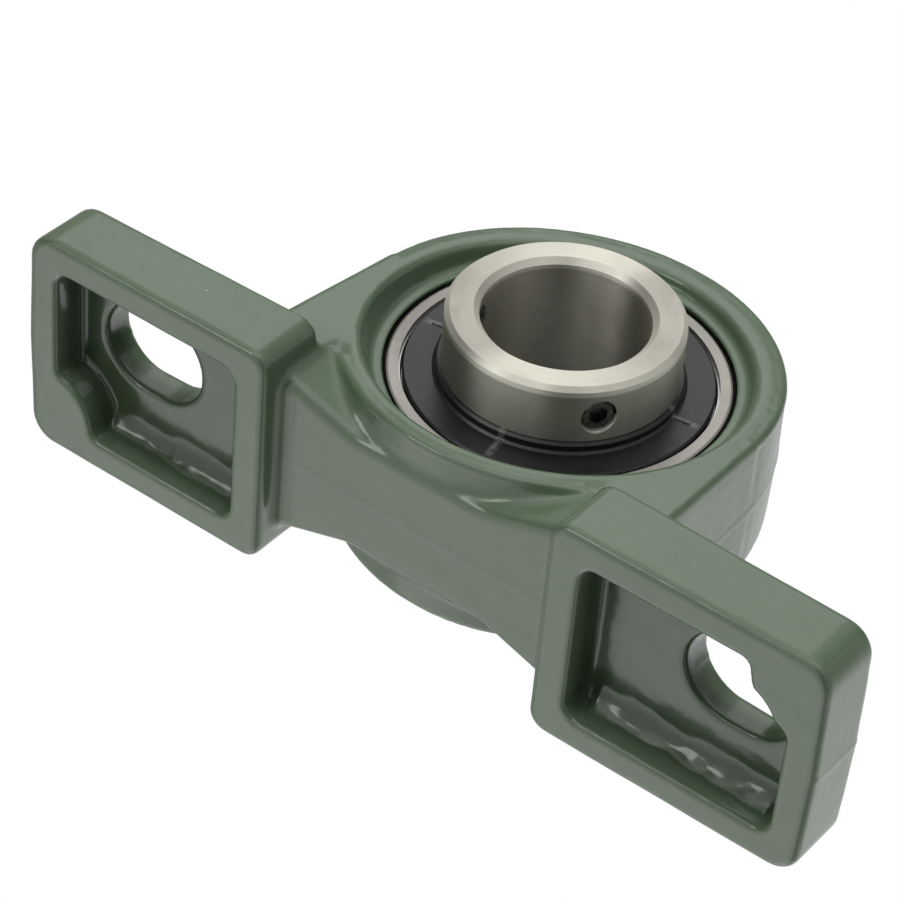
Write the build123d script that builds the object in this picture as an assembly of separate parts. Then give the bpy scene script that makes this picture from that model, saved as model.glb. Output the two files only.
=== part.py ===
from build123d import *
import math
import os

# Pillow block bearing: a cast housing on two feet, holding a wide-inner-ring ball bearing insert.
# Millimetres. Z is up, the base plane is Z = 0, X runs from foot to foot, and the shaft runs along Y.
# The set-screw side of the inner ring is the front, towards -Y. The origin is the centre of the base.

# Shaft and insert
BORE_D = 28.575
CENTRE_H = 42.9
INNER_OD = 40.1
FRONT_REACH = 22.2
BACK_REACH = 15.9
BORE_CHAMFER = 1.0
COLLAR_CHAMFER = 0.8
BALL_D = 9.525
BALL_RISE = 2.95
BALL_COUNT = 9
FIRST_BALL_ANGLE = 90.0
RACE_CLEARANCE = 0.02
RACE_CONFORMITY = 0.52
INSERT_OD = 62.0
OUTER_WIDTH = 19.0
OUTER_SHOULDER_D = 51.9
OUTER_CHAMFER = 0.6
FACE_OD = 57.0
SEAL_SEAT_D = 53.6
SEAL_SEAT_DEPTH = 2.9
GREASE_HOLE_D = 2.0
GREASE_HOLE_Y = 5.2
GREASE_HOLE_COUNT = 2

# Seals and flingers
SHELL_T = 0.6
SHELL_GAP = 1.2
LIP_GAP = 0.08
LIP_T = 0.8
LIP_BEVEL = 0.4
FLINGER_T = 0.6
FLINGER_OD = 52.4
FLINGER_HUB_T = 0.85
FLINGER_BEVEL = 0.4
FLINGER_HUB_REACH = 1.9
FLINGER_RIM_DEPTH = 0.9
FLINGER_STAND_OUT = 0.1
STAKE_COUNT = 4
STAKE_W = 0.7
STAKE_L = 3.2
STAKE_H = 0.25
STAKE_ANGLE = 9.0

# Cage
CAGE_T = 0.8
CAGE_CLEARANCE = 1.25
POCKET_GAP = 0.12
RIVET_D = 1.2
RIVET_HEAD_D = 2.2
RIVET_HEAD_T = 0.5

# Set screws
SCREW_D = 6.0
SCREW_FIT = 0.05
SCREW_LENGTH = 5.0
SCREW_SETBACK = 6.0
SCREW_SUNK = 0.65
SCREW_ANGLES = (-37.0, -157.0)
HEX_AF = 3.0
HEX_DEPTH = 2.4
SCREW_CHAMFER = 0.5
HOLE_CHAMFER = 0.3

# How far a cut or a blank runs past what it cuts or is cut by
CUT_PAST = 5.0

# Housing: ring and shoulders
RING_R = 37.8
RING_HALF_W = 14.4
RING_TAPER = 0.078
RING_DRAFT = 0.4
RING_FRONT_ROUND = 2.4
RING_BACK_ROUND = 0.8
SEAT_CLEARANCE = 0.05
LEDGE_HALF_W = 10.0
LEDGE_R = 31.5
MOUTH_R = 32.9
MOUTH_ROUND = 1.2
SHOULDER_IN_X = 28.2
SHOULDER_OUT_X = 39.4
SHOULDER_ROOT_Z = 10.0
NOTCH_GAP = 0.35
GROOVE_HALF_W = 3.5
GROOVE_DEPTH = 0.7
GROOVE_Y = 2.5

# Housing: feet
FOOT_IN_X = 28.2
FOOT_OUT_X = 79.3
FOOT_DRAFT = 0.6
FOOT_HALF_W = 21.7
FOOT_IN_H = 13.9
FOOT_OUT_H = 12.7
FOOT_OUT_CORNER_R = 5.0
FOOT_EDGE_R = 1.2
POCKET_IN_X = 34.6
POCKET_OUT_X = 73.6
POCKET_HALF_W = 15.8
POCKET_DEPTH = 6.8
POCKET_CORNER_R = 3.0
POCKET_TAPER = 3.0
POCKET_MOUTH_R = 0.8
BOSS_R = 9.0
BOSS_INSET_X = 1.2
BOSS_INSET_Y = 0.8
BOSS_BLEND_R = 2.0
SLOT_SPACING = 119.3
SLOT_SHIFT_X = 2.0
SLOT_SHIFT_Y = -3.1
SLOT_W = 16.6
SLOT_L = 20.8
SLOT_EDGE_R = 0.8

# Housing: web between the feet
WEB_BOTTOM_Z = 4.5
WEB_TOP_DROP = 22.9
WEB_FOOT_HALF_W = 16.4
WEB_SIDE_LAND = 1.8
WEB_MID_HALF_W = 11.5
WEB_MID_X = 13.0
WEB_BLEND_R = 14.0
WEB_ROOT_SHARE = 0.47
WEB_EDGE_R = 2.0
WEB_RING_OVERLAP = 3.3
JUNCTION_R = 2.5

# Grease nipple
NIPPLE_ANGLE = 135.0
NIPPLE_D = 6.0
NIPPLE_THREAD_L = 5.0
NIPPLE_HEX_AF = 7.0
NIPPLE_HEX_H = 3.2
NIPPLE_NECK_D = 4.2
NIPPLE_HEAD_D = 6.2
NIPPLE_HEAD_H = 3.4
NIPPLE_NECK_H = 1.8
NIPPLE_NOSE_D = 3.2
NIPPLE_BUTTON_RISE = 0.6
NIPPLE_BUTTON_T = 1.0
NIPPLE_END_GAP = 0.5
NIPPLE_OVERLAP = 0.1
NIPPLE_CORE_D = 2.9
NIPPLE_MOUTH_D = 1.6
NIPPLE_LID = 1.0
CHECK_BALL_D = 2.4
CHECK_BALL_GAP = 0.1
VALVE_TRAVEL = 0.5
SPRING_WIRE_D = 0.3
SPRING_D = 2.3
SPRING_L = 3.2
SPRING_TURNS = 4
SPOT_FACE_D = 9.6
SPOT_FACE_DEPTH = 0.5
FEED_HOLE_D = 3.0


ball_r = BALL_D / 2
bore_r = BORE_D / 2
inner_r = INNER_OD / 2
pitch_r = inner_r + BALL_RISE
insert_r = INSERT_OD / 2
outer_half_w = OUTER_WIDTH / 2
groove_r = BALL_D * RACE_CONFORMITY
seat_r = insert_r + SEAT_CLEARANCE
web_top_z = CENTRE_H - WEB_TOP_DROP
shell_in_r = inner_r + FLINGER_HUB_T + SHELL_GAP
foot_in_corner_r = FOOT_HALF_W - WEB_FOOT_HALF_W - WEB_SIDE_LAND
first_rivet_angle = FIRST_BALL_ANGLE + 180 / BALL_COUNT


def at_shaft(shape):
    """Lift a shape made about the Y axis to the shaft's centre height."""
    return Pos(0, 0, CENTRE_H) * shape


def turned(points):
    """Turn a closed (radius, y) outline about the Y axis."""
    return revolve(make_face(Polyline(*points, close=True)), Axis.Y)


def radial(angle, radius, y=0.0):
    """A frame on the shaft axis whose Z points out at this angle from +X, at this radius."""
    a = math.radians(angle)
    out = (math.cos(a), 0, math.sin(a))
    at = (radius * out[0], y, CENTRE_H + radius * out[2])
    return Location(Plane(origin=at, x_dir=(0, 1, 0), z_dir=out))


def mirrored(points, side):
    """Put a front outline, given as (radius, distance from mid-plane), on one side."""
    return [(r, side * y) for r, y in points]


def torus_at(centre_r, tube_r):
    """A full race groove about the Y axis."""
    return revolve(Pos(centre_r, 0) * Circle(tube_r), Axis.Y)


# Housing


def half_width_at(z):
    """Half the ring's width at this height: it thins towards the top."""
    return RING_HALF_W - RING_TAPER * (z - CENTRE_H)


def side_envelope():
    """The wedge between the two tapered side faces of the ring."""
    top = CENTRE_H + RING_R + CUT_PAST
    outline = [
        (-half_width_at(0), 0),
        (half_width_at(0), 0),
        (half_width_at(top), top),
        (-half_width_at(top), top),
    ]
    face = make_face(Polyline(*outline, close=True))
    return extrude(Plane.YZ * face, SHOULDER_OUT_X + CUT_PAST, both=True)


def ring_drum():
    """The ring's outer drum, drafted both ways from the parting plane, with rounded rims."""
    reach = half_width_at(0) + CUT_PAST
    draft = RING_DRAFT * reach / RING_HALF_W
    drum = turned([(0, -reach), (RING_R - draft, -reach), (RING_R, 0), (RING_R - draft, reach), (0, reach)])
    drum = at_shaft(drum) & side_envelope()
    drum = fillet(drum.edges().filter_by(lambda e: e.center().Y < -RING_HALF_W / 2), RING_FRONT_ROUND)
    return fillet(drum.edges().filter_by(lambda e: e.center().Y > RING_HALF_W / 2), RING_BACK_ROUND)


def shoulder():
    """The straight side that runs from the ring down to a foot."""
    drop = CENTRE_H - FOOT_IN_H
    aim = math.atan2(-drop, SHOULDER_OUT_X)
    touch = aim + math.acos(RING_R / math.hypot(SHOULDER_OUT_X, drop))
    touch_x = RING_R * math.cos(touch)
    touch_z = CENTRE_H + RING_R * math.sin(touch)
    lean = (SHOULDER_OUT_X - touch_x) / (touch_z - FOOT_IN_H)
    root_x = SHOULDER_OUT_X + lean * (FOOT_IN_H - SHOULDER_ROOT_Z)
    outline = [
        (SHOULDER_IN_X, SHOULDER_ROOT_Z),
        (root_x, SHOULDER_ROOT_Z),
        (touch_x, touch_z),
        (SHOULDER_IN_X, CENTRE_H + SHOULDER_IN_X * math.tan(touch)),
    ]
    face = make_face(Polyline(*outline, close=True))
    solid = extrude(Plane.XZ * face, FOOT_HALF_W, both=True) & side_envelope()
    for rim_y, round_r in ((-RING_HALF_W, RING_FRONT_ROUND), (RING_HALF_W, RING_BACK_ROUND)):
        wall = solid.faces().sort_by(Axis.X)[-1]
        solid = fillet(wall.edges().sort_by_distance((SHOULDER_OUT_X, rim_y, CENTRE_H / 2))[0], round_r)
    return solid


def foot_blank():
    """A foot without its pocket and slot."""
    outline = Polyline(
        (FOOT_IN_X, -FOOT_HALF_W),
        (FOOT_OUT_X, -FOOT_HALF_W),
        (FOOT_OUT_X + FOOT_DRAFT, 0),
        (FOOT_OUT_X, FOOT_HALF_W),
        (FOOT_IN_X, FOOT_HALF_W),
        close=True,
    )
    plan = make_face(outline)
    corners = plan.vertices()
    plan = fillet([v for v in corners if v.X > FOOT_IN_X + 0.1 and abs(v.Y) > 1], FOOT_OUT_CORNER_R)
    plan = fillet([v for v in plan.vertices() if v.X < FOOT_IN_X + 0.1], foot_in_corner_r)
    side = Polyline(
        (FOOT_IN_X, 0),
        (FOOT_OUT_X + CUT_PAST, 0),
        (FOOT_OUT_X + CUT_PAST, FOOT_OUT_H),
        (FOOT_IN_X, FOOT_IN_H),
        close=True,
    )
    wedge = extrude(Plane.XZ * make_face(side), 2 * FOOT_HALF_W, both=True)
    block = extrude(plan, FOOT_IN_H + CUT_PAST) & wedge
    top = block.faces().sort_by(Axis.Z)[-1]
    bottom = block.faces().sort_by(Axis.Z)[0]
    return fillet(top.edges() + bottom.edges(), FOOT_EDGE_R)


def pocket(with_boss):
    """The hollow under a foot, as a plain rectangle or with one outer corner left solid."""
    length = POCKET_OUT_X - POCKET_IN_X
    middle = (POCKET_OUT_X + POCKET_IN_X) / 2
    plan = Pos(middle, 0) * Rectangle(length, 2 * POCKET_HALF_W)
    boss_at = Vector(POCKET_OUT_X + BOSS_INSET_X, -POCKET_HALF_W + BOSS_INSET_Y)
    if with_boss:
        plan = plan - Pos(boss_at) * Circle(BOSS_R)
    far = [v for v in plan.vertices() if (v.center() - boss_at).length > BOSS_R + 1]
    plan = fillet(far, POCKET_CORNER_R)
    if with_boss:
        near = [v for v in plan.vertices() if (v.center() - boss_at).length < BOSS_R + 0.1]
        plan = fillet(near, BOSS_BLEND_R)
    return extrude(plan, POCKET_DEPTH, taper=POCKET_TAPER)


def foot(side):
    """One foot, with its slot rounded at both ends and its pocket rounded at the mouth."""
    turn = Rot(0, 0, 0 if side > 0 else 180)
    at = Pos(side * SLOT_SPACING / 2 + SLOT_SHIFT_X, SLOT_SHIFT_Y)
    slot = extrude(at * SlotOverall(SLOT_L, SLOT_W), FOOT_IN_H + CUT_PAST)
    solid = turn * (foot_blank() - pocket(with_boss=False)) - slot
    solid = fillet(solid.edges().filter_by(lambda e: near_slot(e.center(), at.position)), SLOT_EDGE_R)
    solid = solid + (turn * (pocket(with_boss=False) - pocket(with_boss=True)) - slot)
    mouth = solid.faces().sort_by(Axis.Z)[0].inner_wires()[0].edges()
    return fillet(mouth, POCKET_MOUTH_R)


def near_slot(point, middle):
    """Whether a point lies within the slot's outline, seen from above."""
    return abs(point.X - middle.X) < SLOT_L / 2 + 0.1 and abs(point.Y - middle.Y) < SLOT_W / 2 + 0.1


def web():
    """The narrower wall under the ring that joins the two feet."""
    buried_x = (FOOT_IN_X + POCKET_IN_X) / 2
    foot_slope = (WEB_FOOT_HALF_W - WEB_MID_HALF_W) / (FOOT_IN_X - WEB_MID_X)
    end_half_w = WEB_FOOT_HALF_W + foot_slope * (buried_x - FOOT_IN_X)
    points = [(buried_x, end_half_w), (WEB_MID_X, WEB_MID_HALF_W)]
    back = points + [(-x, y) for x, y in reversed(points)]
    front = [(x, -y) for x, y in reversed(back)]
    plan = make_face(Polyline(*back, *front, close=True))
    waist = [v for v in plan.vertices() if abs(v.X) < FOOT_IN_X]
    plan = fillet(waist, WEB_BLEND_R)
    solid = extrude(Pos(0, 0, WEB_BOTTOM_Z) * plan, web_top_z - WEB_BOTTOM_Z)
    low = [e for e in solid.edges() if e.center().Z < WEB_BOTTOM_Z + 0.1 and abs(e.center().X) < FOOT_IN_X]
    solid = fillet(low, WEB_EDGE_R)
    hollow_side = Rot(90, 0, 0) * Cylinder(RING_R - WEB_RING_OVERLAP, 4 * FOOT_HALF_W)
    return solid - at_shaft(hollow_side)


def base():
    """The two feet and the web between them, with soft corners where they meet."""
    solid = web() + foot(-1) + foot(1)
    roots = [
        e
        for e in solid.edges()
        if abs(abs(e.center().X) - FOOT_IN_X) < 0.3
        and WEB_MID_HALF_W < abs(e.center().Y) < WEB_FOOT_HALF_W + 0.2
        and WEB_BOTTOM_Z < e.center().Z < FOOT_IN_H
    ]
    above = Pos(0, 0, FOOT_IN_H) * Box(
        2 * FOOT_OUT_X, 4 * FOOT_HALF_W, CENTRE_H, align=(Align.CENTER, Align.CENTER, Align.MIN)
    )
    return fillet(roots, WEB_ROOT_SHARE * (FOOT_HALF_W - WEB_FOOT_HALF_W)) - (above - side_envelope())


def on_drum(point):
    """Whether a point lies on the ring's drafted outside."""
    reach = math.hypot(point.X, point.Z - CENTRE_H)
    return RING_R - RING_DRAFT - 0.1 < reach < RING_R + 0.1


def hollow():
    """The spherical seat, its round opening and the flared recess on each side."""
    past = half_width_at(0) + CUT_PAST
    mouth = MOUTH_R + (past - half_width_at(CENTRE_H)) * mouth_slope()
    flare = [(0, LEDGE_HALF_W), (LEDGE_R, LEDGE_HALF_W), (mouth, past), (0, past)]
    space = Sphere(seat_r) + Rot(90, 0, 0) * Cylinder(opening_r(), 2 * past)
    for side in (-1, 1):
        space += turned(mirrored(flare, side))
    return at_shaft(space)


def housing():
    """The whole casting with its machined seat, loading notches, grease groove and nipple hole."""
    body = ring_drum() + shoulder() + mirror(shoulder(), Plane.YZ) + base()
    under = [
        e
        for e in body.edges()
        if all(on_drum(e @ t) for t in (0, 0.5, 1))
        and abs(e.center().X) < FOOT_IN_X
        and e.center().Z < FOOT_IN_H
        and 1 < abs(e.center().Y) < RING_HALF_W
    ]
    body = fillet([e for e in under if e.center().Y < 0], JUNCTION_R)
    back = [body.edges().sort_by_distance(e.center())[0] for e in under if e.center().Y > 0]
    body = fillet(back, JUNCTION_R) - hollow()
    for side in (-1, 1):
        top = CENTRE_H + MOUTH_R
        mouth = body.edges().sort_by_distance((0, side * half_width_at(top), top))[0]
        body = fillet(mouth, MOUTH_ROUND)
    notch = Box(2 * seat_r, 2 * half_width_at(0), OUTER_WIDTH + 2 * NOTCH_GAP)
    body = body - Pos(0, half_width_at(0), CENTRE_H) * notch
    groove_outer = seat_r + GROOVE_DEPTH
    low, high = GROOVE_Y - GROOVE_HALF_W, GROOVE_Y + GROOVE_HALF_W
    body = body - at_shaft(turned([(0, low), (groove_outer, low), (groove_outer, high), (0, high)]))
    inward = (Align.CENTER, Align.CENTER, Align.MAX)
    hole = Cylinder(NIPPLE_D / 2, NIPPLE_THREAD_L, align=inward)
    feed = Cylinder(FEED_HOLE_D / 2, RING_R - insert_r, align=inward)
    face = Cylinder(SPOT_FACE_D / 2, CUT_PAST, align=(Align.CENTER, Align.CENTER, Align.MIN))
    return body - nipple_frame() * (hole + feed + face)


def opening_r():
    """Radius of the seat's round opening, where the sphere meets the ledge."""
    return math.sqrt(seat_r ** 2 - LEDGE_HALF_W ** 2)


def mouth_slope():
    """How much the recess wall opens per millimetre of depth."""
    return (MOUTH_R - LEDGE_R) / (half_width_at(CENTRE_H) - LEDGE_HALF_W)


# Insert


def outer_ring():
    """The outer ring: spherical outside, deep race inside, seats for the seals and two grease holes."""
    face_r = FACE_OD / 2
    corner_y = outer_half_w - OUTER_CHAMFER
    corner_r = math.sqrt(insert_r ** 2 - corner_y ** 2)
    shoulder_r = OUTER_SHOULDER_D / 2
    seat_y = outer_half_w - SEAL_SEAT_DEPTH
    right = [
        (shoulder_r, 0),
        (shoulder_r, seat_y),
        (SEAL_SEAT_D / 2, seat_y),
        (SEAL_SEAT_D / 2, outer_half_w),
        (face_r, outer_half_w),
        (corner_r, corner_y),
    ]
    left = [(r, -y) for r, y in reversed(right)]
    outside = ThreePointArc(right[-1], (insert_r, 0), left[0])
    profile = make_face(Polyline(*right) + outside + Polyline(*left))
    ring = revolve(profile, Axis.Y)
    ring = ring - torus_at(pitch_r + ball_r + RACE_CLEARANCE - groove_r, groove_r)
    for i in range(GREASE_HOLE_COUNT):
        angle = math.radians(NIPPLE_ANGLE + i * 360 / GREASE_HOLE_COUNT)
        at = Plane(origin=(0, GREASE_HOLE_Y, 0), z_dir=(math.cos(angle), 0, math.sin(angle)))
        hole = Cylinder(GREASE_HOLE_D / 2, INSERT_OD, align=(Align.CENTER, Align.CENTER, Align.MIN))
        ring = ring - at.location * hole
    return at_shaft(ring)


def inner_ring():
    """The wide inner ring with its race, chamfered ends and two tapped holes."""
    outline = [
        (bore_r, -FRONT_REACH + BORE_CHAMFER),
        (bore_r + BORE_CHAMFER, -FRONT_REACH),
        (inner_r - COLLAR_CHAMFER, -FRONT_REACH),
        (inner_r, -FRONT_REACH + COLLAR_CHAMFER),
        (inner_r, BACK_REACH - COLLAR_CHAMFER),
        (inner_r - COLLAR_CHAMFER, BACK_REACH),
        (bore_r + BORE_CHAMFER, BACK_REACH),
        (bore_r, BACK_REACH - BORE_CHAMFER),
    ]
    ring = turned(outline) - torus_at(pitch_r - ball_r - RACE_CLEARANCE + groove_r, groove_r)
    ring = at_shaft(ring)
    for angle in SCREW_ANGLES:
        at = radial(angle, inner_r, screw_y())
        hole = Cylinder(SCREW_D / 2, 2 * (inner_r - bore_r), align=(Align.CENTER, Align.CENTER, Align.MAX))
        mouth = Cone(SCREW_D / 2, SCREW_D / 2 + 2 * HOLE_CHAMFER, 2 * HOLE_CHAMFER)
        ring = ring - at * Pos(0, 0, 2 * HOLE_CHAMFER) * hole - at * mouth
    return ring


def screw_y():
    """Where the set screws sit along the shaft."""
    return -FRONT_REACH + SCREW_SETBACK


def set_screw(angle):
    """A headless hexagon-socket screw with a cup point, sunk below the ring's surface."""
    top = inner_r - SCREW_SUNK
    r = SCREW_D / 2 - SCREW_FIT
    body = Cylinder(r, SCREW_LENGTH, align=(Align.CENTER, Align.CENTER, Align.MAX))
    ends = body.edges().filter_by(GeomType.CIRCLE)
    body = chamfer(ends, SCREW_CHAMFER)
    socket = extrude(RegularPolygon(HEX_AF / 2, 6, major_radius=False), -HEX_DEPTH)
    cup = Pos(0, 0, -SCREW_LENGTH) * Cone(r / 2, 0, r / 3, align=(Align.CENTER, Align.CENTER, Align.MIN))
    return radial(angle, top, screw_y()) * (body - socket - cup)


def seal_shell(side):
    """The pressed steel shell that is fixed in the outer ring."""
    seat_y = outer_half_w - SEAL_SEAT_DEPTH
    outline = [
        (shell_in_r, seat_y),
        (SEAL_SEAT_D / 2, seat_y),
        (SEAL_SEAT_D / 2, outer_half_w - FLINGER_RIM_DEPTH),
        (SEAL_SEAT_D / 2 - SHELL_T / 2, outer_half_w - FLINGER_RIM_DEPTH),
        (SEAL_SEAT_D / 2 - SHELL_T, seat_y + SHELL_T),
        (shell_in_r, seat_y + SHELL_T),
    ]
    return at_shaft(turned(mirrored(outline, side)))


def seal_lip(side):
    """The rubber lip on the shell's inner edge, which runs on the inner ring."""
    seat_y = outer_half_w - SEAL_SEAT_DEPTH
    tip = inner_r + LIP_GAP
    outline = [
        (shell_in_r, seat_y),
        (shell_in_r, seat_y + SHELL_T),
        (shell_in_r - LIP_BEVEL, seat_y + LIP_T),
        (tip + LIP_BEVEL, seat_y + 2 * LIP_T / 3),
        (tip, seat_y + LIP_T / 2),
        (tip, seat_y + LIP_T / 4),
        (shell_in_r - LIP_BEVEL, seat_y),
    ]
    return at_shaft(turned(mirrored(outline, side)))


def flinger(side):
    """The dished steel disc pressed on the inner ring that throws dirt off the seal."""
    face = outer_half_w + FLINGER_STAND_OUT
    hub_r = inner_r + FLINGER_HUB_T
    rim_r = FLINGER_OD / 2
    outline = [
        (inner_r, face - FLINGER_T - FLINGER_BEVEL),
        (hub_r, face - FLINGER_T - FLINGER_BEVEL),
        (hub_r + FLINGER_BEVEL, face - FLINGER_T),
        (rim_r - FLINGER_T, face - FLINGER_T),
        (rim_r - FLINGER_T, face - FLINGER_RIM_DEPTH),
        (rim_r, face - FLINGER_RIM_DEPTH),
        (rim_r, face - FLINGER_T / 2),
        (rim_r - FLINGER_T / 2, face),
        (hub_r + FLINGER_BEVEL, face),
        (hub_r, face + FLINGER_BEVEL),
        (hub_r, face + FLINGER_HUB_REACH - FLINGER_BEVEL),
        (hub_r - FLINGER_BEVEL, face + FLINGER_HUB_REACH),
        (inner_r, face + FLINGER_HUB_REACH),
    ]
    disc = turned(mirrored(outline, side))
    rib = Pos(hub_r + STAKE_L / 2, side * face, 0) * Box(STAKE_L, 2 * STAKE_H, STAKE_W)
    return at_shaft(disc + around_shaft(rib, STAKE_COUNT, STAKE_ANGLE))


# Balls and cage


def around_shaft(shape, count, first=0.0):
    """Copies of a shape made about the Y axis, evenly turned about it."""
    return [Rot(0, -(first + i * 360 / count), 0) * shape for i in range(count)]


def cage_band():
    """The cage's inner and outer radius, between the lands of the two rings."""
    return inner_r + CAGE_CLEARANCE, OUTER_SHOULDER_D / 2 - CAGE_CLEARANCE


def cage_half(side):
    """One pressed half of the cage: a flat ribbon with a cup over each ball."""
    inside, outside = cage_band()
    cup_in = ball_r + POCKET_GAP
    half = turned(mirrored([(inside, 0), (outside, 0), (outside, CAGE_T), (inside, CAGE_T)], side))
    band = turned(mirrored([(inside, 0), (outside, 0), (outside, BALL_D), (inside, BALL_D)], side))
    upright = Pos(pitch_r, 0, 0) * Rot(90, 0, 0)
    cup = upright * Sphere(cup_in + CAGE_T) & band
    half = half + around_shaft(cup, BALL_COUNT, FIRST_BALL_ANGLE)
    half = half - around_shaft(upright * Sphere(cup_in), BALL_COUNT, FIRST_BALL_ANGLE)
    rivet_at = Pos(sum(cage_band()) / 2, 0, 0) * Rot(90, 0, 0)
    holes = around_shaft(rivet_at * Cylinder(RIVET_D / 2, 4 * CAGE_T), BALL_COUNT, first_rivet_angle)
    return at_shaft(half - holes)


def cage_rivets():
    """The rivets that close the two halves between the balls."""
    shank = Rot(90, 0, 0) * Cylinder(RIVET_D / 2, 2 * CAGE_T)
    head = Rot(90, 0, 0) * Cylinder(RIVET_HEAD_D / 2, RIVET_HEAD_T)
    reach = CAGE_T + RIVET_HEAD_T / 2
    rivet = shank + Pos(0, reach, 0) * head + Pos(0, -reach, 0) * head
    rivet = Pos(sum(cage_band()) / 2, 0, 0) * rivet
    return Compound(children=[at_shaft(copy) for copy in around_shaft(rivet, BALL_COUNT, first_rivet_angle)])


def balls():
    """The balls, counted from the top, the way the angle grows from +X to +Z."""
    ball = Pos(pitch_r, 0, 0) * Rot(90, 0, 0) * Sphere(ball_r)
    return [at_shaft(copy) for copy in around_shaft(ball, BALL_COUNT, FIRST_BALL_ANGLE)]


# Grease nipple


def nipple_frame(out=0.0):
    """A frame on the nipple's axis, this far out from its spot face."""
    return radial(NIPPLE_ANGLE, RING_R - SPOT_FACE_DEPTH + out)


def grease_nipple():
    """The screwed-in nipple, hollow, with a hexagon, a neck and a button head."""
    neck = NIPPLE_HEX_H
    head = neck + NIPPLE_NECK_H
    tip = head + NIPPLE_HEAD_H
    r = NIPPLE_HEAD_D / 2
    outline = [
        (0, -NIPPLE_THREAD_L + NIPPLE_END_GAP),
        (NIPPLE_D / 2 - SCREW_FIT, -NIPPLE_THREAD_L + NIPPLE_END_GAP),
        (NIPPLE_D / 2 - SCREW_FIT, NIPPLE_OVERLAP),
        (NIPPLE_NECK_D / 2, neck - NIPPLE_OVERLAP),
        (NIPPLE_NECK_D / 2, head),
        (r, head + NIPPLE_BUTTON_RISE),
        (r, head + NIPPLE_BUTTON_RISE + NIPPLE_BUTTON_T),
        (NIPPLE_NOSE_D / 2, tip),
        (0, tip),
    ]
    body = revolve(make_face(Polyline(*[(x, 0, z) for x, z in outline], close=True)), Axis.Z)
    body = body + extrude(RegularPolygon(NIPPLE_HEX_AF / 2, 6, major_radius=False), NIPPLE_HEX_H)
    core_l = tip - NIPPLE_LID - spring_foot()
    core = Cylinder(NIPPLE_CORE_D / 2, core_l, align=(Align.CENTER, Align.CENTER, Align.MIN))
    core = Pos(0, 0, spring_foot()) * core
    mouth = Cylinder(NIPPLE_MOUTH_D / 2, 2 * tip + NIPPLE_THREAD_L)
    return nipple_frame() * (body - core - mouth)


def check_ball_out():
    """How far out the check ball's centre sits."""
    tip = NIPPLE_HEX_H + NIPPLE_NECK_H + NIPPLE_HEAD_H
    rise = math.sqrt((CHECK_BALL_D / 2) ** 2 - (NIPPLE_MOUTH_D / 2) ** 2)
    return tip - NIPPLE_LID - rise - CHECK_BALL_GAP


def nipple_ball():
    """The check ball that closes the nipple's mouth."""
    return nipple_frame(check_ball_out()) * Sphere(CHECK_BALL_D / 2)


def spring_foot():
    """How far out the ledge sits that the spring stands on."""
    ball_low = check_ball_out() - VALVE_TRAVEL
    coil_r = SPRING_D / 2 - SPRING_WIRE_D / 2
    dip = math.sqrt((CHECK_BALL_D / 2 + SPRING_WIRE_D / 2) ** 2 - coil_r ** 2)
    return ball_low - dip - SPRING_L - SPRING_WIRE_D / 2


def nipple_spring():
    """The coil spring under the check ball, at the length it has when the ball is pushed in."""
    coil = Helix(SPRING_L / SPRING_TURNS, SPRING_L, SPRING_D / 2 - SPRING_WIRE_D / 2)
    start = Plane(origin=coil @ 0, z_dir=coil % 0)
    wire = sweep(start * Circle(SPRING_WIRE_D / 2), path=coil, is_frenet=True)
    return nipple_frame(spring_foot() + SPRING_WIRE_D / 2) * wire


pieces = {
    "housing": housing(),
    "grease_nipple": grease_nipple(),
    "nipple_ball": nipple_ball(),
    "nipple_spring": nipple_spring(),
    "outer_ring": outer_ring(),
    "inner_ring": inner_ring(),
    "cage_front": cage_half(-1),
    "cage_back": cage_half(1),
    "cage_rivets": cage_rivets(),
}
for name, side in (("front", -1), ("back", 1)):
    pieces["seal_shell_" + name] = seal_shell(side)
    pieces["seal_lip_" + name] = seal_lip(side)
    pieces["flinger_" + name] = flinger(side)
for number, angle in enumerate(SCREW_ANGLES, 1):
    pieces[f"set_screw_{number}"] = set_screw(angle)
for number, ball in enumerate(balls(), 1):
    pieces[f"ball_{number}"] = ball

os.makedirs("parts", exist_ok=True)
for name, shape in pieces.items():
    export_step(shape, f"parts/{name}.step")
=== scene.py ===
import math

import bpy
import numpy as np
from mathutils import Matrix, Vector, noise


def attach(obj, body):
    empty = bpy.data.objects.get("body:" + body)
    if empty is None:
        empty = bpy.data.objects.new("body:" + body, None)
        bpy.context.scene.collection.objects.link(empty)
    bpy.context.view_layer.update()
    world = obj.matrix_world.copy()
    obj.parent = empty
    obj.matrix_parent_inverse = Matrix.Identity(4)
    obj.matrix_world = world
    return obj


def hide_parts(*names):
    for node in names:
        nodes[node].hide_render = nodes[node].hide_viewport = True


# A pillow block bearing. Metres. Z is up, the floor is Z = 0, the shaft runs along Y.
# The set-screw side is the front, -Y.

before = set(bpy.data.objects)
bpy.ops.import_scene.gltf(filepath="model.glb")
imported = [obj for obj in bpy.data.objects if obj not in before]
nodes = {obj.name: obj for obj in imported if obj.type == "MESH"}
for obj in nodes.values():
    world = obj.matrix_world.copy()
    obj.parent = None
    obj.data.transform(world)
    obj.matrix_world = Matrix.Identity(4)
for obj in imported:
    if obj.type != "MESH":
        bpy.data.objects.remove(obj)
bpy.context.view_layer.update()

MM = 0.001
SHAFT_H = 42.9 * MM


# Node helpers


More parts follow.
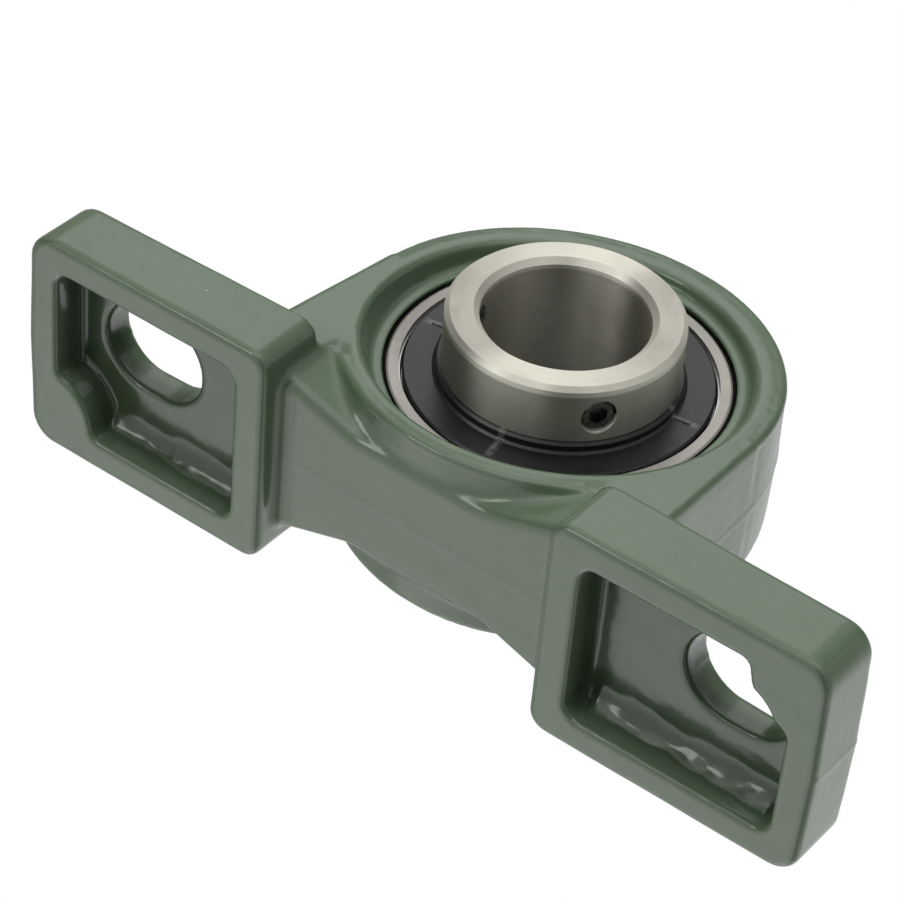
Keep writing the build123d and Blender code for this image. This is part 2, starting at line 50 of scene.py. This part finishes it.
class Graph:
    """A node tree, with short calls for the nodes that the finishes and the studio share."""

    def __init__(self, tree):
        self.tree = tree

    def add(self, kind, **settings):
        node = self.tree.nodes.new(kind)
        for key, value in settings.items():
            setattr(node, key, value)
        return node

    def feed(self, socket, value):
        if isinstance(value, bpy.types.NodeSocket):
            self.tree.links.new(value, socket)
        else:
            socket.default_value = value

    def feed_all(self, node, values):
        for socket, value in zip(node.inputs, values):
            self.feed(socket, value)

    def math(self, operation, *values):
        node = self.add("ShaderNodeMath", operation=operation)
        self.feed_all(node, values)
        return node.outputs[0]

    def vector_math(self, operation, *values):
        node = self.add("ShaderNodeVectorMath", operation=operation)
        self.feed_all(node, values)
        return node.outputs["Value" if operation in ("DISTANCE", "DOT_PRODUCT", "LENGTH") else "Vector"]

    def span(self, value, low, high, to_low=0.0, to_high=1.0):
        """An eased step from to_low to to_high, as the value goes from low to high."""
        node = self.add("ShaderNodeMapRange", interpolation_type="SMOOTHSTEP")
        self.feed_all(node, (value, low, high, to_low, to_high))
        return node.outputs[0]

    def fall(self, value, low, high):
        """An eased step down from one to zero."""
        return self.span(value, low, high, 1.0, 0.0)

    def mix_shaders(self, share, first, second):
        node = self.add("ShaderNodeMixShader")
        self.feed_all(node, (share, first.outputs[0], second.outputs[0]))
        return node


class Finish(Graph):
    """One material's node tree. Its patterns are placed in the part's own metres."""

    def __init__(self, name):
        self.material = bpy.data.materials.new(name)
        self.material.use_nodes = True
        super().__init__(self.material.node_tree)
        self.surface = self.tree.nodes["Principled BSDF"]
        self.place = self.add("ShaderNodeTexCoord").outputs["Object"]

    def set(self, **values):
        for name, value in values.items():
            self.feed(self.surface.inputs[name.replace("_", " ")], value)

    def noise(self, scale, detail, rough, at=None):
        node = self.add("ShaderNodeTexNoise")
        self.feed(node.inputs["Vector"], at or self.place)
        self.feed(node.inputs["Scale"], scale)
        self.feed(node.inputs["Detail"], detail)
        self.feed(node.inputs["Roughness"], rough)
        return node.outputs[0]

    def mix(self, share, first, second):
        node = self.add("ShaderNodeMix", data_type="RGBA")
        self.feed(node.inputs[0], share)
        for socket, colour in zip((node.inputs[6], node.inputs[7]), (first, second)):
            self.feed(socket, colour if isinstance(colour, bpy.types.NodeSocket) else (*colour, 1))
        return node.outputs[2]

    def bump(self, height, depth, under=None):
        node = self.add("ShaderNodeBump")
        self.feed(node.inputs["Height"], height)
        self.feed(node.inputs["Distance"], depth)
        self.feed(node.inputs["Strength"], 1.0)
        if under is not None:
            self.feed(node.inputs["Normal"], under)
        return node.outputs[0]

    def split(self):
        node = self.add("ShaderNodeSeparateXYZ")
        self.feed(node.inputs[0], self.place)
        return node.outputs

    def about_shaft(self):
        """Radius from the shaft axis, angle about it, and distance along it."""
        x, y, z = self.split()
        up = self.math("SUBTRACT", z, SHAFT_H)
        squares = self.math("ADD", self.math("MULTIPLY", x, x), self.math("MULTIPLY", up, up))
        return self.math("SQRT", squares), self.math("ARCTAN2", up, x), y


def shaded(tint, share):
    return tuple(share * part for part in tint)


# Finishes


ENAMEL = (0.133, 0.197, 0.117)
ENAMEL_PALE = (0.145, 0.213, 0.129)
ENAMEL_MOTTLE = (0.118, 0.176, 0.104)
# Painted shade: the enamel's colour inside the feet's hollows
ENAMEL_HOLLOW_SHADE = (0.070, 0.108, 0.060)
PEEL_DEPTH = 0.06 * MM
SAND_DEPTH = 0.18 * MM

# Where the painted shade in the feet's hollows comes in or goes out
HOLLOW_BOTTOM = (0.8 * MM, 4.5 * MM)
HOLLOW_ROOF = (9.0 * MM, 12.0 * MM)
HOLLOW_INNER_END = (33.5 * MM, 34.5 * MM)
HOLLOW_OUTER_END = (74.5 * MM, 75.5 * MM)
HOLLOW_SIDE = (16.0 * MM, 16.6 * MM)

# Small marks in the enamel: where in mm, how far they reach in mm, and their colour
FLECK = (0.60, 0.66, 0.58)
SPECK = (0.035, 0.045, 0.035)
CHIP = (0.36, 0.29, 0.21)
MARK_COVER = 0.85
MARKS = (
    ((-47.2, -21.7, 7.8), 0.30, FLECK),
    ((-28.9, -21.8, 0.4), 1.10, CHIP),
    ((-29.9, -21.7, 0.2), 0.60, CHIP),
    ((-36.2, -21.5, 13.7), 0.45, CHIP),
    ((-34.6, -21.5, 13.3), 0.55, CHIP),
    ((-33.0, -21.4, 13.1), 0.50, CHIP),
    ((-31.8, -21.2, 12.9), 0.45, CHIP),
    ((-24.4, 2.3, 4.5), 0.25, SPECK),
    ((-6.5, -4.5, 4.5), 0.22, SPECK),
    ((9.3, 1.6, 4.5), 0.28, SPECK),
    ((31.4, -17.0, 0.0), 0.22, SPECK),
    ((79.2, 14.2, 11.8), 0.55, SPECK),
)


def marked(s, colour):
    """Add the small ragged marks to the enamel's colour."""
    ragged = s.noise(1500.0, 2.0, 0.6)
    for place, reach, tint in MARKS:
        reach *= MM
        gap = s.vector_math("DISTANCE", s.place, Vector(place) * MM)
        edge = s.math("MULTIPLY_ADD", ragged, reach, gap)
        colour = s.mix(s.span(edge, reach, 1.25 * reach, MARK_COVER, 0.0), colour, tint)
    return colour


def hollow_shade_share(s):
    """How far a place is inside the hollows under the feet, where painted shade darkens the enamel."""
    x, y, z = s.split()
    far_x = s.math("ABSOLUTE", x)
    height = s.math("MULTIPLY", s.span(z, *HOLLOW_BOTTOM), s.fall(z, *HOLLOW_ROOF))
    length = s.math("MULTIPLY", s.span(far_x, *HOLLOW_INNER_END), s.fall(far_x, *HOLLOW_OUTER_END))
    width = s.fall(s.math("ABSOLUTE", y), *HOLLOW_SIDE)
    return s.math("MULTIPLY", height, s.math("MULTIPLY", length, width))


def enamel():
    """Glossy grey-green enamel over a sand casting, with painted shade in the feet's hollows."""
    s = Finish("green_enamel")
    patch = s.noise(38.0, 3.0, 0.55)
    fine = s.noise(420.0, 2.0, 0.5)
    colour = s.mix(s.span(patch, 0.35, 0.65), ENAMEL, ENAMEL_PALE)
    colour = s.mix(s.span(fine, 0.3, 0.75, 0.0, 0.25), colour, ENAMEL_MOTTLE)
    # Painted shade darkens the enamel inside the feet's hollows
    colour = s.mix(hollow_shade_share(s), marked(s, colour), ENAMEL_HOLLOW_SHADE)
    s.set(Base_Color=colour, Roughness=s.math("MULTIPLY_ADD", patch, 0.16, 0.08), Metallic=0.0)
    peel = s.noise(300.0, 2.0, 0.45)
    sand = s.noise(95.0, 3.0, 0.5)
    s.set(Normal=s.bump(peel, PEEL_DEPTH, s.bump(sand, SAND_DEPTH)))
    return s.material


COLLAR_TINT = (0.68, 0.665, 0.58)
# The collar's ends, spared the painted shade of its outside, and its bore, spared half of it
COLLAR_FRONT = (-20.6 * MM, -20.2 * MM)
COLLAR_BACK = (14.3 * MM, 14.7 * MM)
COLLAR_BORE = (16.0 * MM, 17.0 * MM)
RING_TINT = (0.40, 0.385, 0.355)
# Painted shade on the outer ring's outside, in the gap round it: where it begins, its eased edge and its
# colour
RING_GAP_SHADE_FROM = 28.75 * MM
GAP_SHADE_EDGE = 0.15 * MM
GAP_SHADE = (0.015, 0.014, 0.012)
GROOVE_TURN = 1.2 * MM
GROOVE_DEPTH = 0.0005 * MM


def ground_steel(name, tint, rough, side=1.0, gap_shade_from=None):
    """Bearing steel, ground round and round, with a faint stain.

    Its outside keeps only the share side of its ends' colour, a painted shade. Beyond the given gap radius
    it is rougher, with painted shade.
    """
    s = Finish(name)
    radius, angle, along = s.about_shaft()
    rings = s.add("ShaderNodeCombineXYZ")
    s.feed_all(rings, (radius, s.math("MULTIPLY", angle, GROOVE_TURN), along))
    lines = s.noise(9000.0, 2.0, 0.6, at=rings.outputs[0])
    bands = s.noise(900.0, 2.0, 0.5, at=rings.outputs[0])
    stain = s.noise(70.0, 3.0, 0.6)
    shade = s.mix(s.span(bands, 0.3, 0.7), tint, shaded(tint, 0.95))
    shade = s.mix(s.span(stain, 0.45, 0.75, 0.0, 0.35), shade, shaded(tint, 0.72))
    # Painted shade: the outside keeps only the share side of its colour, the ends all of it, the bore half
    # way
    ends = s.math("MAXIMUM", s.fall(along, *COLLAR_FRONT), s.span(along, *COLLAR_BACK))
    bright = s.math("MAXIMUM", ends, s.span(radius, *COLLAR_BORE, 0.5, 0.0))
    shade = s.mix(bright, s.mix(1.0 - side, shade, (0.0, 0.0, 0.0)), shade)
    gloss = s.span(lines, 0.3, 0.7, rough - 0.02, rough + 0.02)
    gloss = s.math("ADD", gloss, s.span(stain, 0.4, 0.8, 0.0, 0.08))
    gloss = s.math("MULTIPLY_ADD", ends, 0.10, gloss)
    if gap_shade_from is not None:
        # Painted shade of the gap round the ring, with a rougher surface
        edge = (radius, gap_shade_from, gap_shade_from + GAP_SHADE_EDGE)
        shade = s.mix(s.span(*edge), shade, GAP_SHADE)
        gloss = s.math("ADD", gloss, s.span(*edge, 0.0, 0.35))
    s.set(Base_Color=shade, Metallic=1.0, Roughness=gloss)
    s.set(Anisotropic=0.9, Anisotropic_Rotation=0.25)
    tangent = s.add("ShaderNodeTangent", direction_type="RADIAL", axis="Y")
    s.set(Tangent=tangent.outputs[0], Normal=s.bump(lines, GROOVE_DEPTH))
    return s.material


STAKE_TURN = math.radians(9.0)
STAKE_HALF_GAP = math.radians(45.0)
STAKE_SIDE = (0.3 * MM, 0.9 * MM)
STAKE_END = (24.6 * MM, 26.2 * MM)
STAKE_TINT = (0.15, 0.15, 0.145)


def pressed_black():
    """Blackened sheet steel, satin, with four paler streaks at its stakes."""
    s = Finish("black_steel")
    radius, angle, _ = s.about_shaft()
    fine = s.noise(1400.0, 3.0, 0.6)
    cloud = s.noise(60.0, 3.0, 0.5)
    colour = s.mix(s.span(cloud, 0.3, 0.7), (0.009, 0.009, 0.010), (0.015, 0.015, 0.017))
    turn = s.math("PINGPONG", s.math("SUBTRACT", angle, STAKE_TURN), STAKE_HALF_GAP)
    near = s.fall(s.math("MULTIPLY", turn, radius), *STAKE_SIDE)
    near = s.math("MULTIPLY", near, s.fall(radius, *STAKE_END))
    stake = s.math("MULTIPLY", near, s.span(fine, 0.3, 0.6, 0.35, 0.95))
    colour = s.mix(stake, colour, STAKE_TINT)
    s.set(Base_Color=colour, Metallic=0.0, Roughness=s.math("MULTIPLY_ADD", fine, 0.2, 0.28))
    s.set(Normal=s.bump(fine, 0.01 * MM))
    return s.material


def black_oxide():
    """Black-oxided screw steel, with a dark grey sheen."""
    s = Finish("black_oxide")
    fine = s.noise(900.0, 3.0, 0.5)
    s.set(Base_Color=s.mix(fine, (0.16, 0.155, 0.15), (0.24, 0.235, 0.23)), Metallic=1.0)
    s.set(Roughness=s.span(fine, 0.3, 0.7, 0.22, 0.4), Normal=s.bump(fine, 0.008 * MM))
    return s.material


def bright_metal(name, tint, rough):
    """Pressed, polished or plated metal with faint clouds."""
    s = Finish(name)
    fine = s.noise(700.0, 4.0, 0.6)
    cloud = s.noise(90.0, 2.0, 0.5)
    colour = s.mix(s.span(cloud, 0.3, 0.7), tint, shaded(tint, 0.8))
    s.set(Base_Color=colour, Metallic=1.0, Roughness=s.span(fine, 0.3, 0.7, rough - 0.06, rough + 0.08))
    s.set(Normal=s.bump(fine, 0.006 * MM))
    return s.material


def rubber():
    """Matt black seal rubber."""
    s = Finish("seal_rubber")
    fine = s.noise(1100.0, 3.0, 0.6)
    s.set(Base_Color=s.mix(fine, (0.012, 0.012, 0.012), (0.03, 0.03, 0.03)), Metallic=0.0)
    s.set(Roughness=s.span(fine, 0.3, 0.7, 0.5, 0.7), Normal=s.bump(fine, 0.01 * MM))
    return s.material


green = enamel()

# The finish of each CAD node, by how its name starts
FINISHES = {
    "housing": green,
    # The collar's outside with painted shade
    "inner_ring": ground_steel("collar_steel", COLLAR_TINT, 0.40, side=0.62),
    # The outer ring's outside with painted shade of its gap
    "outer_ring": ground_steel("outer_ring_steel", RING_TINT, 0.38, gap_shade_from=RING_GAP_SHADE_FROM),
    "flinger_": pressed_black(),
    "set_screw_": black_oxide(),
    "seal_shell_": bright_metal("pressed_steel", (0.55, 0.55, 0.54), 0.32),
    "ball_": bright_metal("ball_steel", (0.70, 0.70, 0.70), 0.12),
    "nipple_spring": bright_metal("spring_steel", (0.45, 0.45, 0.45), 0.3),
    "grease_nipple": bright_metal("zinc_plate", (0.62, 0.60, 0.52), 0.3),
    "seal_lip_": rubber(),
}
FINISHES["cage_"] = FINISHES["seal_shell_"]
FINISHES["nipple_ball"] = FINISHES["ball_"]

for name, node in nodes.items():
    slots = node.data.materials
    slots.clear()
    slots.append(next(finish for start, finish in FINISHES.items() if name.startswith(start)))


# The casting, with its cast and painted surface


# Sizes of the casting that its surface follows
RING_R = 37.8 * MM
RING_HALF_W = 14.4 * MM
RING_TAPER = 0.078
RIM_ROUND = 2.4 * MM
SHOULDER_LEAN = math.radians(3.05)
SHOULDER_FROM = 16.0 * MM
FOOT_IN = 28.2 * MM
POCKET_FROM = 34.6 * MM
POCKET_TO = 73.6 * MM
POCKET_HALF_W = 15.8 * MM
POCKET_TAPER = math.tan(math.radians(3.0))
POCKET_DEPTH = 6.8 * MM
SEAT_R = 31.05 * MM
SEAT_CENTRE = np.array((0, 0, SHAFT_H))
LEDGE_Y = 10.0 * MM

# The inside of a foot's hollow, with a little of its walls and roof
INSIDE_X = (POCKET_FROM - 2.0 * MM, POCKET_TO + 1.0 * MM)
INSIDE_HALF_W = 17.0 * MM
INSIDE_Z = (1.5 * MM, 9.5 * MM)

# How the surface is made and shaped
VOXEL = 0.5 * MM
RIM_SHARP = 1.1 * MM
RIM_NEAR = 1.224 * RIM_ROUND
EDGE_ROUND = 0.3 * MM
SEAT_KEEP = 0.6 * MM
SEAT_LIFT = 0.02 * MM
POOL_R = 4.4 * MM
POOL_WAVE = 0.3
POOL_END = 2.5 * MM
POOL_PAST = 0.8 * MM
SEAM_Y = 0.4 * MM
SEAM_HALF_W = 0.35 * MM
SEAM_ON_FOOT = 0.10 * MM
SEAM_ON_RING = 0.05 * MM

# Waves of the casting: how many there are in a metre, and how high they are
WAVES = ((60.0, 0.10 * MM), (190.0, 0.03 * MM))
HOLLOW_WAVES = ((160.0, 0.05 * MM), (450.0, 0.01 * MM))
POOL_WAVES = ((110.0, 1.0), (330.0, 0.3))


def swell(co, waves):
    return sum(noise.noise(co * often) * high for often, high in waves)


def from_axis(co):
    """A point's place across the shaft axis, and how far it is from it."""
    x, up = co[0], co[2] - SHAFT_H
    return x, up, math.hypot(x, up)


def wall_reach(co):
    """How far a point stands out from the shaft axis, square to the ring's side or its straight shoulder."""
    x, up, arc = from_axis(co)
    if up >= RING_R * math.sin(SHOULDER_LEAN) or co[2] <= SHOULDER_FROM:
        return arc
    return abs(x) * math.cos(SHOULDER_LEAN) + up * math.sin(SHOULDER_LEAN)


def crisp_rim(co):
    """Draw the ring's front rim out to a tighter corner."""
    front = RING_HALF_W - RING_TAPER * (co[2] - SHAFT_H)
    u = wall_reach(co) - (RING_R - RIM_ROUND)
    v = -co[1] - (front - RIM_ROUND)
    if min(u, v) <= 0 or max(u, v) > RIM_NEAR:
        return co
    far = math.hypot(u, v)
    a, b = u / far, v / far
    inset = RIM_ROUND - RIM_SHARP
    reach = RIM_ROUND / max(a, b)
    root = inset * inset * ((a + b) ** 2 - 2) + RIM_SHARP ** 2
    if root > 0:
        on_arc = inset * (a + b) + math.sqrt(root)
        if min(a, b) * on_arc >= inset:
            reach = on_arc
    grow = max(0.0, reach - RIM_ROUND)
    x, up, arc = from_axis(co)
    return np.array((x + x / arc * a * grow, co[1] - b * grow, co[2] + up / arc * a * grow))


def seat_edge(co):
    """Draw the seat's front edge, where the sphere meets the ledge, as one even rounding."""
    opening = math.sqrt(SEAT_R ** 2 - LEDGE_Y ** 2)
    across, along = opening / SEAT_R, LEDGE_Y / SEAT_R
    middle_r = opening + EDGE_ROUND * (1 + along) / across
    middle_y = LEDGE_Y - EDGE_ROUND
    x, up, arc = from_axis(co)
    u, v = arc - middle_r, -co[1] - middle_y
    far = math.hypot(u, v)
    if far > 3 * EDGE_ROUND or (u > 0 and v < 0) or (u <= 0 and v < u * along / across):
        return co
    if u > 0:
        return np.array((x, -LEDGE_Y, co[2]))
    reach = (middle_r + u / far * EDGE_ROUND) / arc
    return np.array((x * reach, -middle_y - v / far * EDGE_ROUND, SHAFT_H + up * reach))


def pooled(co):
    """Fill the long back corner of a foot's hollow with enamel that ran into it."""
    far_x = abs(co[0])
    if not (POCKET_FROM < far_x < POCKET_TO and 0 < co[2] < POCKET_DEPTH + 1.0 * MM and co[1] > 0):
        return co
    end = min(far_x - POCKET_FROM, POCKET_TO - far_x)
    r = POOL_R * (1.0 + POOL_WAVE * swell(co, POOL_WAVES)) * min(1.0, end / POOL_END)
    wall = POCKET_HALF_W - POCKET_TAPER * co[2] - co[1]
    roof = POCKET_DEPTH - co[2]
    if max(wall, roof) > r or min(wall, roof) < -POOL_PAST:
        return co
    far = math.hypot(r - wall, r - roof)
    if far <= r:
        return co
    pull = 1.0 - r / far
    return np.array((co[0], co[1] - (r - wall) * pull, co[2] - (r - roof) * pull))


def in_hollow(co):
    """Whether a point lies inside one of the two hollows under the feet."""
    long = INSIDE_X[0] < abs(co[0]) < INSIDE_X[1]
    return long and abs(co[1]) < INSIDE_HALF_W and INSIDE_Z[0] < co[2] < INSIDE_Z[1]


def cast_wave(co, out):
    """How far the painted sand casting swells or sinks here, and the seam where the mould parted."""
    wave = swell(co, WAVES)
    if in_hollow(co):
        wave += swell(co, HOLLOW_WAVES)
    elif abs(out[1]) < 0.5 and co[2] > 0.5 * MM:
        seam = SEAM_ON_FOOT if abs(co[0]) > FOOT_IN else SEAM_ON_RING
        wave += seam * math.exp(-(((co[1] - SEAM_Y) / SEAM_HALF_W) ** 2))
    return wave


def as_cast(co, out):
    """Where a point of the softened housing, with its outward direction, ends up."""
    front = co[1] < 0
    edge = seat_edge(co) if front else co
    if edge is not co:
        return edge
    reach = math.dist(co, SEAT_CENTRE)
    if reach < SEAT_R + SEAT_KEEP:
        return SEAT_CENTRE + (co - SEAT_CENTRE) * max(1.0, (SEAT_R + SEAT_LIFT) / reach)
    co = crisp_rim(co) if front else pooled(co)
    return co + out * cast_wave(co, out)


def softened(source):
    """A copy of a CAD node's mesh in small even faces, with its corners softened."""
    skin = bpy.data.objects.new("housing_skin", source.data.copy())
    bpy.context.scene.collection.objects.link(skin)
    skin.data.materials.clear()
    skin.data.materials.append(green)
    remesh = skin.modifiers.new("remesh", "REMESH")
    remesh.mode = "VOXEL"
    remesh.voxel_size = VOXEL
    soften = skin.modifiers.new("soften", "SMOOTH")
    soften.factor = 0.5
    soften.iterations = 3
    graph = bpy.context.evaluated_depsgraph_get()
    shaped = bpy.data.meshes.new_from_object(skin.evaluated_get(graph))
    skin.modifiers.clear()
    skin.data = shaped
    shaped.name = "housing_skin"
    return skin


def cast_skin():
    """The housing as it is seen: softened corners and the slight waves of a painted sand casting."""
    skin = softened(nodes["housing"])
    mesh = skin.data
    points = np.empty(len(mesh.vertices) * 3)
    mesh.vertices.foreach_get("co", points)
    points = points.reshape(-1, 3)
    normals = np.empty(len(mesh.vertices) * 3)
    mesh.vertex_normals.foreach_get("vector", normals)
    for i, (co, out) in enumerate(zip(points, normals.reshape(-1, 3))):
        points[i] = as_cast(co, out)
    mesh.vertices.foreach_set("co", points.reshape(-1))
    mesh.polygons.foreach_set("use_smooth", np.ones(len(mesh.polygons), bool))
    mesh.update()
    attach(skin, "housing")
    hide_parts("housing")


cast_skin()


# Camera, with the photograph's place, direction and lens


EYE = Vector((0.23047, -0.35215, -0.32477))
EYE_AHEAD = Vector((-0.43303, 0.64026, 0.63447))
EYE_RIGHT = Vector((0.78887, -0.07135, 0.6104))
LENS = 133.357
SENSOR = 36.0


def look(fwd, right):
    """A rotation for a camera or lamp that looks along fwd with right to its right."""
    fwd = fwd.normalized()
    right = (right - right.dot(fwd) * fwd).normalized()
    up = right.cross(fwd)
    return Matrix((right, up, -fwd)).transposed().to_4x4()


def camera():
    """The photograph's view, from below the part's right front."""
    data = bpy.data.cameras.new("photo_view")
    data.sensor_width = SENSOR
    data.lens = LENS
    data.clip_start = 0.01
    data.clip_end = 20.0
    rig = bpy.data.objects.new("photo_view", data)
    rig.matrix_world = Matrix.Translation(EYE) @ look(EYE_AHEAD, EYE_RIGHT)
    bpy.context.scene.collection.objects.link(rig)
    bpy.context.scene.camera = rig


# Floor, lamps and surroundings


FLOOR_HALF = 3.0
FLOOR_Z = -0.2 * MM
FLOOR_FADE = (0.12, 0.55)
SHADE_R = 14.2 * MM
SHADE_Y = 14.5 * MM
SHADE_SIDES = 48
WHITE = (1.0, 1.0, 1.0, 1.0)


def flat_sheet(name, corners, material):
    """One flat face with its finish."""
    mesh = bpy.data.meshes.new(name)
    mesh.from_pydata(corners, [], [tuple(range(len(corners)))])
    mesh.materials.append(material)
    sheet = bpy.data.objects.new(name, mesh)
    bpy.context.scene.collection.objects.link(sheet)
    return sheet


def floor():
    """A pale floor that shows from above and keeps the part's shadow, and can be seen through from below."""
    s = Finish("floor_white")
    s.set(Base_Color=(0.9, 0.9, 0.9, 1), Roughness=0.7)
    far = s.span(s.vector_math("LENGTH", s.place), *FLOOR_FADE)
    fade = s.mix_shaders(far, s.surface, s.add("ShaderNodeEmission"))
    seen = s.add("ShaderNodeLightPath").outputs["Is Camera Ray"]
    above = s.math("SUBTRACT", 1.0, s.add("ShaderNodeNewGeometry").outputs["Backfacing"])
    shown = s.mix_shaders(s.math("MULTIPLY", seen, above), s.add("ShaderNodeBsdfTransparent"), fade)
    s.feed(s.tree.nodes["Material Output"].inputs["Surface"], shown.outputs[0])
    r = FLOOR_HALF
    corners = [(x, y, FLOOR_Z) for x, y in ((-r, -r), (r, -r), (r, r), (-r, r))]
    sheet = flat_sheet("floor", corners, s.material)


def bore_shade():
    """A dark card in the bore's back end, as the photographed part lies on its back. No camera sees it."""
    s = Finish("shade_black")
    s.set(Base_Color=(0.03, 0.03, 0.03, 1), Roughness=0.9)
    turns = [math.tau * i / SHADE_SIDES for i in range(SHADE_SIDES)]
    rim = [(SHADE_R * math.cos(turn), SHADE_Y, SHAFT_H + SHADE_R * math.sin(turn)) for turn in turns]
    card = flat_sheet("bore_shade", rim, s.material)
    card.visible_camera = False


def lamp(name, at, size, power):
    """A soft square lamp that faces the part."""
    data = bpy.data.lights.new(name, "AREA")
    data.size = size
    data.energy = power
    rig = bpy.data.objects.new(name, data)
    at = Vector(at)
    fwd = Vector((0, 0, SHAFT_H)) - at
    rig.matrix_world = Matrix.Translation(at) @ look(fwd, fwd.cross(Vector((0, 0, 1))))
    bpy.context.scene.collection.objects.link(rig)


# Where the studio is bright: a direction, how narrow, and how strong
STUDIO = (
    ((0.0, 1.0, 0.0), 0.3, 0.36),
    ((0.0, 1.0, 0.0), 5.0, 0.36),
    ((0.0, -1.0, 0.0), 6.0, 1.75),
    ((-0.43, -0.637, 0.64), 4.0, 0.60),
    ((0.43, 0.637, 0.64), 4.0, 0.76),
    ((-0.43, 0.637, -0.64), 4.0, 0.54),
)
STUDIO_LEAST = 0.02

# Cards round the shaft that only mirrors see: angle and half width in degrees, and how strong
CARDS = (
    (-103.0, 34.0, 0.95),
    (12.0, 44.0, 0.50),
)
CARD_EDGE = 5.0


def surroundings():
    """White where it is seen or looked through, and otherwise a studio that is brightest in front."""
    world = bpy.data.worlds.new("studio")
    world.use_nodes = True
    g = Graph(world.node_tree)
    path = g.add("ShaderNodeLightPath").outputs
    way = g.add("ShaderNodeTexCoord").outputs["Generated"]
    level = STUDIO_LEAST
    for aim, sharpness, strength in STUDIO:
        facing = g.vector_math("DOT_PRODUCT", way, Vector(aim).normalized())
        lobe = g.math("POWER", g.math("MAXIMUM", facing, 0.0), sharpness)
        level = g.math("MULTIPLY_ADD", lobe, strength, level)
    across = g.vector_math("NORMALIZE", g.vector_math("MULTIPLY", way, (1.0, 0.0, 1.0)))
    for angle, half, strength in CARDS:
        turn = math.radians(angle)
        facing = g.vector_math("DOT_PRODUCT", across, (math.cos(turn), 0.0, math.sin(turn)))
        begins = math.cos(math.radians(half + CARD_EDGE))
        full = math.cos(math.radians(half - CARD_EDGE))
        card = g.span(facing, begins, full, 0.0, strength)
        level = g.math("MULTIPLY_ADD", card, path["Is Glossy Ray"], level)
    studio = g.tree.nodes["Background"]
    g.feed_all(studio, (WHITE, level))
    white = g.add("ShaderNodeBackground")
    g.feed_all(white, (WHITE, 1.0))
    seen = g.math("MAXIMUM", path["Is Camera Ray"], path["Is Transmission Ray"])
    shown = g.mix_shaders(seen, studio, white)
    g.feed(g.tree.nodes["World Output"].inputs["Surface"], shown.outputs[0])
    bpy.context.scene.world = world


camera()
floor()
lamp("key", (-0.43, -0.64, -0.59), 0.28, 1.1)
lamp("top", (-0.40, -0.64, 0.70), 0.5, 0.8)
bore_shade()
surroundings()

bpy.context.scene.view_settings.view_transform = "Standard"
